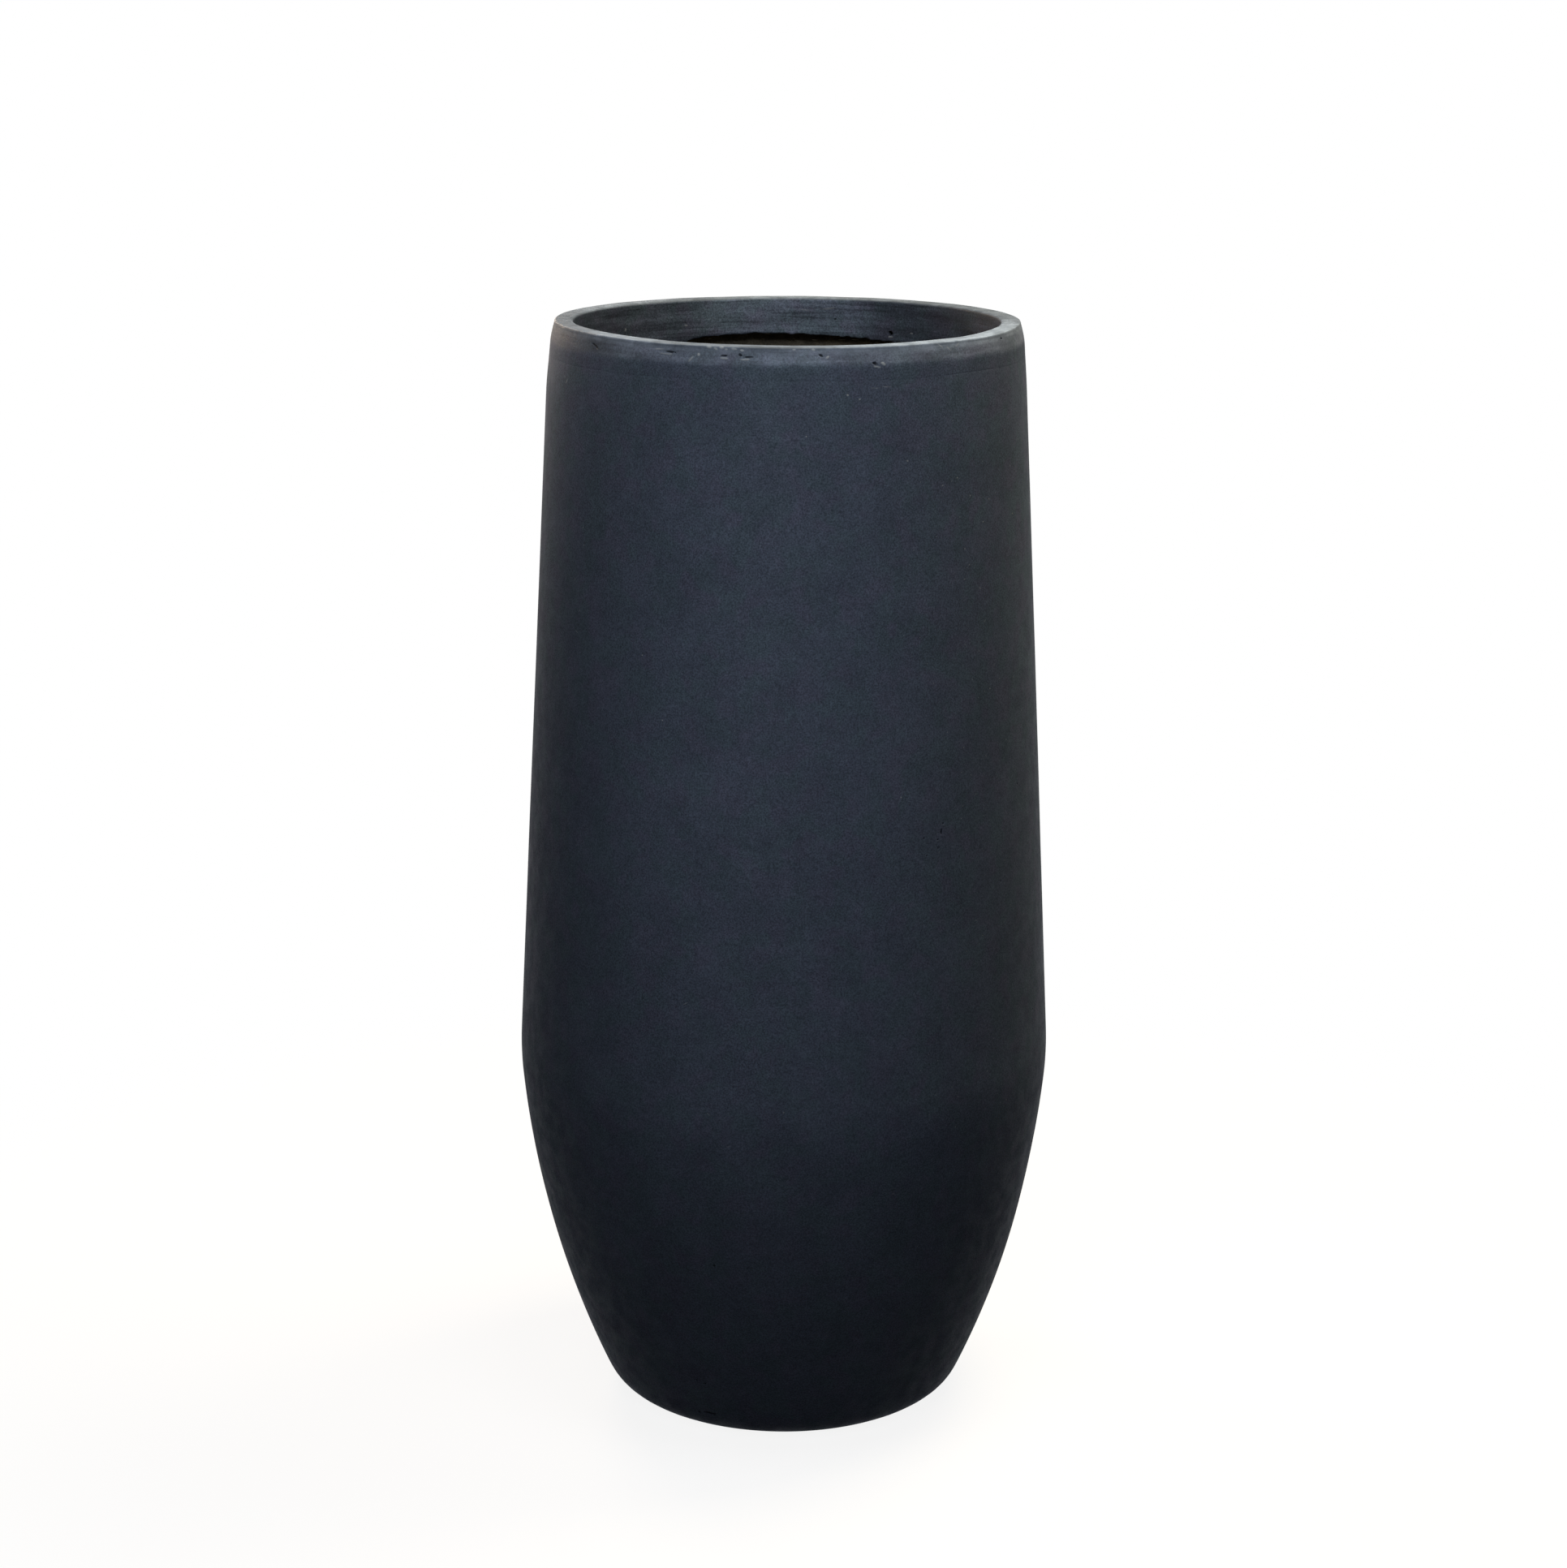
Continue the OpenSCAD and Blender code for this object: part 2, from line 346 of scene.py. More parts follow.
def section(node):
    """The outline of a round CAD node: a loop of edges in the half plane x > 0, y = 0."""
    bm = bmesh.new()
    bm.from_mesh(frame["nodes"][node].data)
    bmesh.ops.remove_doubles(bm, verts=bm.verts, dist=SAME_PLACE)
    bmesh.ops.bisect_plane(
        bm, geom=bm.verts[:] + bm.edges[:] + bm.faces[:], dist=SAME_PLACE / 10,
        plane_co=(0, 0, 0), plane_no=(0, 1, 0), clear_inner=True, clear_outer=True)
    bmesh.ops.delete(bm, geom=[v for v in bm.verts if v.co.x < 0], context="VERTS")
    bmesh.ops.remove_doubles(bm, verts=bm.verts, dist=SAME_PLACE)
    return bm


def refine(bm, spacing):
    """Divides each edge of an outline into steps no longer than spacing(middle of the edge)."""
    for edge in bm.edges[:]:
        middle = (edge.verts[0].co + edge.verts[1].co) / 2
        cuts = math.ceil(edge.calc_length() / spacing(middle)) - 1
        if cuts > 0:
            bmesh.ops.subdivide_edges(bm, edges=[edge], cuts=cuts)


def soften(bm):
    """Rounds the corners of an outline a little, as wear and a sponge do."""
    for _ in range(2):
        bmesh.ops.smooth_vert(
            bm, verts=bm.verts, factor=0.5, use_axis_x=True, use_axis_y=False, use_axis_z=True)


def turn(bm, steps):
    """Spins an outline into a sector, and doubles that again and again into a closed skin."""
    sector = math.tau / SECTORS
    bmesh.ops.spin(
        bm, geom=bm.verts[:] + bm.edges[:], cent=(0, 0, 0), axis=(0, 0, 1), dvec=(0, 0, 0),
        angle=sector, steps=steps // SECTORS, use_merge=False, use_duplicate=False)
    for doubling in range(DOUBLINGS):
        copy = bmesh.ops.duplicate(bm, geom=bm.verts[:] + bm.edges[:] + bm.faces[:])["geom"]
        verts = [v for v in copy if isinstance(v, bmesh.types.BMVert)]
        turned = Matrix.Rotation(sector * 2 ** doubling, 3, "Z")
        bmesh.ops.rotate(bm, verts=verts, cent=(0, 0, 0), matrix=turned)
    bmesh.ops.remove_doubles(bm, verts=bm.verts, dist=SAME_PLACE / 2)
    bmesh.ops.recalc_face_normals(bm, faces=bm.faces)


def push(bm, shift):
    """Moves each vertex outwards and upwards by what shift(radius, place) gives."""
    for vert in bm.verts:
        radius = math.hypot(vert.co.x, vert.co.y)
        out, up = shift(radius, vert.co)
        vert.co += Vector((vert.co.x / radius * out, vert.co.y / radius * out, up))


def outer_outline(node):
    """The (height, radius) points of a round node's outside, from the bottom up."""
    bm = section(node)
    points = sorted((v.co.z, v.co.x) for v in bm.verts)
    bm.free()
    hull = []
    for point in points:
        while len(hull) > 1 and turns_out(hull[-2], hull[-1], point):
            hull.pop()
        hull.append(point)
    return hull


def turns_out(a, b, c):
    """Whether b lies on the inner side of the line from a to c, where each is (height, radius)."""
    return (b[1] - a[1]) * (c[0] - a[0]) <= (c[1] - a[1]) * (b[0] - a[0])


def radius_at(outline, height):
    """The radius of an outline at a height."""
    for (z0, r0), (z1, r1) in zip(outline, outline[1:]):
        if height <= z1:
            return r0 + (r1 - r0) * max(height - z0, 0) / max(z1 - z0, 1e-9)
    return outline[-1][1]


def finish_piece(name, bm, material, node):
    """Makes the piece that stands for a CAD node, smooth except at its sharp corners."""
    for edge in bm.edges:
        edge.smooth = edge.calc_face_angle(0) < SHARP_ANGLE
    for face in bm.faces:
        face.smooth = True
    mesh = bpy.data.meshes.new(name)
    bm.to_mesh(mesh)
    bm.free()
    mesh.materials.append(material)
    piece = bpy.data.objects.new(name, mesh)
    bpy.context.scene.collection.objects.link(piece)
    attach(piece, "planter")
    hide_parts(node)
    return piece


def tree_of(bm):
    """A tree that finds the vertices near a place."""
    tree = kdtree.KDTree(len(bm.verts))
    for index, vert in enumerate(bm.verts):
        tree.insert(vert.co, index)
    tree.balance()
    bm.verts.ensure_lookup_table()
    return tree


def divide_near(bm, spots):
    """Halves the edges near each (place, reach), round by round, until they are fine enough for marks."""
    while True:
        tree = tree_of(bm)
        edges = {}
        for place, reach in spots:
            beside = bm.verts[tree.find(place)[1]]
            margin = 0.7 * max(edge.calc_length() for edge in beside.link_edges)
            for _, index, _ in tree.find_range(place, reach + margin):
                for face in bm.verts[index].link_faces:
                    for edge in face.edges:
                        if edge.calc_length() > MARK_SPACING:
                            edges[edge] = True
        if not edges:
            return tree
        bmesh.ops.subdivide_edges(bm, edges=list(edges), cuts=1, use_grid_fill=True)


def press_marks(bm, marks, radius_of):
    """Presses uneven marks into a surface, whose radius radius_of gives from azimuth and height."""
    pale = bm.verts.layers.float.new("pale")
    bm.normal_update()
    tree = tree_of(bm)
    spots = []
    inwards = []
    for azimuth, height, width, tall, *_ in marks:
        centre = on_planter(azimuth, radius_of(azimuth, height * MM), height * MM)
        vert = bm.verts[tree.find(centre)[1]]
        centre += vert.normal * (vert.co - centre).dot(vert.normal)
        spots.append((centre, MARK_REACH * max(width, tall) * MM))
        inwards.append(-vert.normal)
    tree = divide_near(bm, spots)
    for (centre, reach), into, (_, _, width, tall, lean, depth, paleness) in zip(spots, inwards, marks):
        side = Vector((0, 0, 1)).cross(into).normalized()
        along = Quaternion(into, math.radians(lean)) @ side
        across = into.cross(along)
        for _, index, _ in tree.find_range(centre, reach):
            vert = bm.verts[index]
            offset = (vert.co - centre) / MM
            uneven = 1 + MARK_UNEVEN * noise.noise(vert.co / MM)
            away = 2 * math.hypot(offset.dot(along) / width, offset.dot(across) / tall) * uneven
            vert.co += into * depth * MM * (1 - smooth_step(0.35, 1.0, away))
            # Above zero the paleness is a real speck or a painted highlight; below zero it is painted shade
            # in the hollow
            vert[pale] += (paleness - vert[pale]) * (1 - smooth_step(0.6, 1.1, away))


# Pieces of the planter

COAT_OUTLINE = outer_outline("face_coat")


def cast_wave(co):
    """How far out the surface lies from its drawn line; it never passes the widest line."""
    belly = bell(co.z - BELLY_Z, BELLY_REACH)
    waves = WIDE_WAVE * grain(co, 120 * MM) + SMALL_WAVE * grain(co, 45 * MM)
    wave = (1 - BELLY_CALM * belly) * waves - BELLY_DRAWN_IN * belly
    for azimuth, amount in THINNED:
        spread = bell(azimuth_of(co) - azimuth, THINNED_SPREAD)
        wave -= amount * spread * smooth_step(NECK_Z - THINNED_FROM, NECK_Z + 2 * MM, co.z)
    spread = bell(azimuth_of(co) - FOOT_AZIMUTH, FOOT_SPREAD)
    wave += FOOT_BULGE * spread * (1 - smooth_step(FOOT_FULL_Z, FOOT_END_Z, co.z))
    return MM * wave


def under_skin(radius, height):
    """Whether a point of the coat lies behind its outer skin."""
    return radius < radius_at(COAT_OUTLINE, height) - SKIN


def make_coat(material):
    """The pigmented coat: a cast wall, slightly uneven, with the holes left by air bubbles."""
    bm = section("face_coat")

    def spacing(middle):
        if under_skin(middle.x, middle.z):
            return HIDDEN_SPACING
        return COAT_SPACING if middle.z < NECK_Z - 15 * MM else COAT_TOP_SPACING

    def shift(radius, co):
        if under_skin(radius, co.z):
            return 0, 0
        cut = CUT_BACK * smooth_step(NECK_Z - 3.2 * MM, NECK_Z - 1.2 * MM, co.z)
        return cast_wave(co) - cut, 0

    refine(bm, spacing)
    soften(bm)
    turn(bm, COAT_STEPS)
    push(bm, shift)
    press_marks(bm, COAT_MARKS, lambda azimuth, height: radius_at(COAT_OUTLINE, height))
    return finish_piece("charcoal_coat", bm, material, "face_coat")


def make_rim(material):
    """The rim, trowelled by hand: a feathered outer band, a worn top and a ragged hanging lip."""
    bm = section("rim_ring")
    middle_r = (MOUTH_R + NECK_R) / 2
    behind_lip_r = MOUTH_R + 3 * MM
    behind_band_r = NECK_R - 2 * MM

    def spacing(middle):
        if behind_lip_r < middle.x < behind_band_r and middle.z < NECK_Z + 1 * MM:
            return RIM_COVERED_SPACING
        if middle.x > behind_band_r and middle.z < NECK_Z + 6 * MM:
            return RIM_FOOT_SPACING
        return RIM_SPACING

    def shift(radius, co):
        azimuth = azimuth_of(co)
        streak = grain(co, 2.2 * MM, along=14, seed=3.1)
        lump = grain(co, 26 * MM, seed=7.7)
        small = grain(co, 5 * MM, along=2, seed=1.3)
        out = MM * (0.06 * streak + 0.15 * lump + 0.06 * small)
        up = -MM * (0.18 + 0.18 * lump + 0.05 * small) * smooth_step(TOP_Z - 2 * MM, TOP_Z, co.z)
        up -= top_dip(azimuth) * smooth_step(TOP_Z - DIP_REACH, TOP_Z, co.z)
        if radius > middle_r:
            # The band runs on down over the coat, and thins out into its surface
            edge = smooth_step(NECK_R - 4 * MM, NECK_R - 0.6 * MM, radius)
            run = BAND_RUN + grain(co, 30 * MM, seed=5.5)
            up -= edge * smooth_step(-6 * MM, 0, NECK_Z - co.z) * run * MM
            place = co + Vector((0, 0, up))
            out *= smooth_step(NECK_Z - 3 * MM, NECK_Z + 3 * MM, place.z)
            proud = BAND_PROUD - BAND_THINS * max(NECK_Z - place.z, 0)
            band = band_radius(place) - drawn_radius(co.z) + cast_wave(place) + proud
            out += band * smooth_step(middle_r, NECK_R - 3.5 * MM, radius)
        else:
            low = 1 - smooth_step(LIP_Z, LIP_Z + 8 * MM, co.z)
            ragged = 0.7 * grain(co, 7 * MM, seed=6.1) + 0.5 * grain(co, 2.6 * MM, seed=9.4)
            up -= low * (lip_hang(azimuth) + ragged) * MM
        return out, up

    refine(bm, spacing)
    soften(bm)
    # The two corners of the top are crisper than their drawn radius
    crisp(bm, Vector((MOUTH_R + RIM_INNER_ROUND, 0, TOP_Z - RIM_INNER_ROUND)), -1, RIM_INNER_ROUND)
    crisp(bm, Vector((RIM_CORNER_R - RIM_OUTER_ROUND, 0, TOP_Z - RIM_OUTER_ROUND)), 1, RIM_OUTER_ROUND)
    turn(bm, RIM_STEPS)
    push(bm, shift)
    press_marks(bm, RIM_MARKS, rim_radius)
    return finish_piece("trowelled_rim", bm, material, "rim_ring")


def crisp(bm, centre, side, size):
    """Moves the points of an outline's rounded upper corner out, from a circle to a squarer curve."""
    for vert in bm.verts:
        across = (vert.co.x - centre.x) * side / size
        above = (vert.co.z - centre.z) / size
        if across > 0 and above > 0:
            out = math.hypot(across, above) / (across ** CRISPNESS + above ** CRISPNESS) ** (1 / CRISPNESS)
            vert.co = centre + (vert.co - centre) * out


def drawn_radius(height):
    """The drawn radius of the rim's outer band, and of the coat below it."""
    if height < NECK_Z:
        return radius_at(COAT_OUTLINE, height)
    return NECK_R - BAND_LEAN * (height - NECK_Z) / (TOP_Z - NECK_Z)


def band_radius(place):
    """The radius of the band as it was trowelled, with a soft and wandering lower edge."""
    neck = NECK_Z + MM * (1.3 * grain(place, 50 * MM, seed=8.8) + 0.6 * grain(place, 14 * MM, seed=4.9))
    softness = MM * (1.1 + 0.7 * grain(place, 35 * MM, seed=2.9))
    above = softness * math.log1p(math.exp((place.z - neck) / softness))
    wall = radius_at(COAT_OUTLINE, place.z) - WALL_LEAN * max(place.z - NECK_Z, 0)
    return wall - (BAND_LEAN / (TOP_Z - NECK_Z) - WALL_LEAN) * above


def rim_radius(azimuth, height):
    """The radius of the band at the front, and of the lip's inner face at the back."""
    return MOUTH_R if abs(azimuth) > 90 else drawn_radius(height)


def top_dip(azimuth):
    """How much lower the rim's top was trowelled, most of all near the front."""
    across = math.cos(math.radians(azimuth - DIP_AZIMUTH))
    return DIP * smooth_step(math.cos(math.radians(DIP_SPREAD)), 1, across)


def lip_hang(azimuth):
    """How many millimetres the lip hangs below its drawn edge; least at the back, just left of middle."""
    away = azimuth % 360 - LIP_AZIMUTH
    sinks = LIP_SINKS_RIGHT if away < 0 else LIP_SINKS_LEFT
    return min(sinks * away ** 2, LIP_MOST) + LIP_LEAST


def make_backing(material):
    """The structural wall, laid by hand, with a lumpy inner face."""
    bm = section("backing_wall")
    outline = outer_outline("backing_wall")

    def inner(place):
        return math.hypot(place.x, place.y) < radius_at(outline, place.z) - 2 * MM

    def shift(radius, co):
        if not inner(co) or co.z < UNDER_FLOOR_Z:
            return 0, 0
        lump = 0.9 * grain(co, 30 * MM, seed=9.1) + 0.8 * grain(co, 11 * MM, along=1.5, seed=8.3)
        return 0.55 * MM * lump + 0.25 * MM * grain(co, 4.5 * MM, seed=2.2), 0

    refine(bm, lambda middle: BACKING_SPACING if inner(middle) else HIDDEN_SPACING)
    turn(bm, BACKING_STEPS)
    push(bm, shift)
    return finish_piece("rough_backing", bm, material, "backing_wall")


def make_floor(material):
    """The cast floor, screeded by hand towards the drain."""
    bm = section("floor_slab")
    seat_r = PLUG_R + 1.5 * MM

    def shift(radius, co):
        if co.z < UNDER_FLOOR_Z:
            return 0, 0
        free = smooth_step(seat_r, seat_r + 8 * MM, radius)
        lump = grain(co, 28 * MM, seed=1.7) + 0.6 * grain(co, 9 * MM, seed=3.3)
        fillet = smooth_step(FLOOR_HIGH.x - 9 * MM, FLOOR_HIGH.x, radius)
        return 0, free * 0.6 * MM * lump + fillet * (2.2 + grain(co, 12 * MM)) * MM

    refine(bm, lambda middle: FLOOR_SPACING if middle.z > UNDER_FLOOR_Z else HIDDEN_SPACING)
    turn(bm, FLOOR_STEPS)
    push(bm, shift)
    return finish_piece("screeded_floor", bm, material, "floor_slab")


# Finishes


class Finish:
    """A procedural material on Object coordinates, with short ways to add its nodes."""

    def __init__(self, name, **constants):
        self.material = bpy.data.materials.new(name)
        self.material.use_nodes = True
        self.tree = self.material.node_tree
        self.shader = self.tree.nodes["Principled BSDF"]
        for socket, value in constants.items():
            self.shader.inputs[socket.replace("_", " ")].default_value = value
        self.place = self.add("ShaderNodeTexCoord").outputs["Object"]
        flat = self.vector("MULTIPLY", self.place, (1, 1, 0)).outputs["Vector"]
        self.radius = self.vector("LENGTH", flat).outputs["Value"]
        self.height = self.add("ShaderNodeSeparateXYZ", Vector=self.place).outputs["Z"]
        self.outwards = self.vector("NORMALIZE", flat).outputs["Vector"]
        pale = self.add("ShaderNodeAttribute", attribute_name="pale").outputs["Fac"]
        # Above zero the marks' attribute holds real pale specks and painted highlights, below zero painted
        # shade in hollows
        self.pale = self.math("MAXIMUM", pale, 0.0)
        self.hollow = self.math("MAXIMUM", self.math("MULTIPLY", pale, -1.0), 0.0)

    def add(self, kind, **values):
        """Adds a node. A value goes to the node's own setting, or to the input of that name."""
        node = self.tree.nodes.new(kind)
        settings = [key for key in values if hasattr(node, key) and key not in node.inputs]
        for key in settings:
            setattr(node, key, values.pop(key))
        for key, value in values.items():
            socket = next(s for s in node.inputs if s.identifier == key or s.name == key.replace("_", " "))
            if isinstance(value, bpy.types.NodeSocket):
                self.tree.links.new(value, socket)
            else:
                socket.default_value = value
        return node

    def vector(self, operation, a, b=(0, 0, 0)):
        """A node that works on one or two vectors."""
        return self.add("ShaderNodeVectorMath", operation=operation, Vector=a, Vector_001=b)

    def math(self, operation, a, b=0.0):
        """A value worked out from one or two others."""
        return self.add("ShaderNodeMath", operation=operation, Value=a, Value_001=b).outputs["Value"]

    def placed(self, scale, seed):
        """The place on the piece, moved by the seed and scaled along each axis."""
        mapping = self.add("ShaderNodeMapping", Vector=self.place, Location=(seed, seed, seed), Scale=scale)
        return mapping.outputs["Vector"]

    def noise(self, size, detail=2.0, roughness=0.5, stretch=(1, 1, 1), seed=0.0):
        """Noise about 0.5 whose lumps are size metres across, times the stretch along each axis."""
        place = self.placed(tuple(1 / (size * s) for s in stretch), seed)
        node = self.add("ShaderNodeTexNoise", Vector=place, Scale=1.0, Detail=detail, Roughness=roughness)
        return node.outputs["Fac"]

    def streaks(self, size, length, detail=3.0, seed=0.0):
        """Noise drawn out along the circle, on upright and level faces alike."""
        place = self.placed((1 / length, 1 / length, 1 / size), seed)
        across = self.math("MULTIPLY", self.radius, 1 / size)
        node = self.add(
            "ShaderNodeTexNoise", noise_dimensions="4D", Vector=place, W=across, Scale=1.0, Detail=detail)
        return node.outputs["Fac"]

    def spots(self, size, radius, share, seed=0.0):
        """Round spots of about that radius in a share of the cells, which are size metres across."""
        cells = self.add("ShaderNodeTexVoronoi", Vector=self.placed((1 / size,) * 3, seed), Scale=1.0)
        draw = self.add("ShaderNodeSeparateColor", Color=cells.outputs["Color"]).outputs["Red"]
        chosen = self.math("GREATER_THAN", draw, 1 - share)
        inside = self.span(cells.outputs["Distance"], radius / size, 0.45 * radius / size, 0, 1)
        return self.math("MULTIPLY", chosen, inside)

    def near(self, azimuth, spread):
        """From 1 at an azimuth to 0 at that many degrees from it."""
        cosine = self.vector("DOT_PRODUCT", self.outwards, tuple(on_planter(azimuth, 1, 0)))
        return self.span(cosine.outputs["Value"], math.cos(math.radians(spread)), 1, 0, 1)

    def side(self, azimuth, spread, there, elsewhere=1.0):
        """A factor that is there at an azimuth, and elsewhere at that many degrees from it."""
        return self.blend(self.near(azimuth, spread), elsewhere, there)

    def span(self, value, low, high, to_low, to_high):
        """Maps low..high to to_low..to_high, smoothly and without going past either."""
        node = self.add(
            "ShaderNodeMapRange", interpolation_type="SMOOTHSTEP", Value=value, From_Min=low, From_Max=high,
            To_Min=to_low, To_Max=to_high)
        return node.outputs["Result"]

    def mix(self, share, a, b):
        """From colour a at share 0 to colour b at share 1."""
        node = self.add(
            "ShaderNodeMix", data_type="RGBA", Factor_Float=share, A_Color=opaque(a), B_Color=opaque(b))
        return next(s for s in node.outputs if s.identifier == "Result_Color")

    def blend(self, share, a, b):
        """From value a at share 0 to value b at share 1."""
        node = self.add("ShaderNodeMix", data_type="FLOAT", Factor_Float=share, A_Float=a, B_Float=b)
        return node.outputs["Result"]

    def total(self, first, *others):
        """The sum of several values."""
        for other in others:
            first = self.math("ADD", first, other)
        return first

    def product(self, first, *others):
        """Several values multiplied."""
        for other in others:
            first = self.math("MULTIPLY", first, other)
        return first

    def shade(self, colour, *factors):
        """A colour made lighter or darker by each factor."""
        for by in factors:
            node = self.add("ShaderNodeVectorMath", operation="SCALE", Vector=colour, Scale=by)
            colour = node.outputs["Vector"]
        return colour

    def bump(self, height, distance, strength=1.0, under=None):
        """Relief of that many metres on top of another relief."""
        node = self.add("ShaderNodeBump", Height=height, Distance=distance, Strength=strength)
        if under is not None:
            self.tree.links.new(under, node.inputs["Normal"])
        return node.outputs["Normal"]

    def done(self, colour, roughness, relief):
        """Wires the colour, the roughness and the relief to the shader."""
        self.tree.links.new(colour, self.shader.inputs["Base Color"])
        self.tree.links.new(roughness, self.shader.inputs["Roughness"])
        self.tree.links.new(relief, self.shader.inputs["Normal"])
        return self.material


def opaque(colour):
    """A colour of three numbers with full opacity, or the socket as it is."""
    return colour if isinstance(colour, bpy.types.NodeSocket) else (*colour, 1)


def charcoal_colour(f):
    """Blue-grey pigment with faint green and purple patches, clouds and a fine grain."""
    colour = f.mix(f.span(f.noise(16 * MM, 3, seed=2), 0.42, 0.60, 0, 1), SLATE, TEAL_GREY)
    colour = f.mix(f.span(f.noise(13 * MM, 3, seed=7), 0.48, 0.66, 0, 1), colour, PURPLE_GREY)
    clouds = f.span(f.noise(26 * MM, 4, 0.55, seed=4), 0.25, 0.75, 0.90, 1.10)
    mottle = f.span(f.noise(4 * MM, 3, 0.6, seed=5), 0.25, 0.75, 0.92, 1.08)
    speckle = f.span(f.noise(0.8 * MM, 2, 0.6, seed=6), 0.2, 0.8, 0.56, 1.44)
    return f.shade(colour, f.product(clouds, mottle, speckle))


def charcoal_roughness(f):
    """The dull skin of the cast coat."""
    return f.span(f.noise(9 * MM, 4, 0.6, seed=8), 0.3, 0.7, 0.58, 0.72)


def charcoal_relief(f):
    """The cast skin's relief in mm, as the parts of a sum: low waves, small lumps and a fine grain."""
    return (
        f.math("MULTIPLY", f.noise(14 * MM, 2, seed=13), 0.10),
        f.math("MULTIPLY", f.noise(3.2 * MM, 2, seed=14), 0.05),
        f.math("MULTIPLY", f.noise(0.9 * MM, 2, 0.6, seed=6), 0.045))


def charcoal_concrete():
    """The cast coat, with pinholes given painted shade, and pale specks."""
    f = Finish("charcoal_concrete", Specular_IOR_Level=0.02)
    specks = f.spots(12 * MM, 0.45 * MM, 0.22, seed=3)
    # A finer dusting of them, mostly on the right
    dusting = f.math("MULTIPLY", f.spots(4 * MM, 0.32 * MM, 0.35, seed=41), f.side(52, 34, 0.85, 0.12))
    specks = f.math("MAXIMUM", f.math("MAXIMUM", specks, dusting), f.pale)
    holes = f.spots(9 * MM, 0.3 * MM, 0.2, seed=11)
    colour = f.mix(specks, charcoal_colour(f), PALE_SPECK)
    # Painted shade in the pinholes and in the marks' hollows
    colour = f.mix(f.math("MAXIMUM", holes, f.hollow), colour, PAINTED_HOLE_SHADE)
    relief = f.bump(f.total(*charcoal_relief(f)), MM)
    relief = f.bump(holes, -0.5 * MM, 1.0, relief)
    return f.done(colour, charcoal_roughness(f), relief)


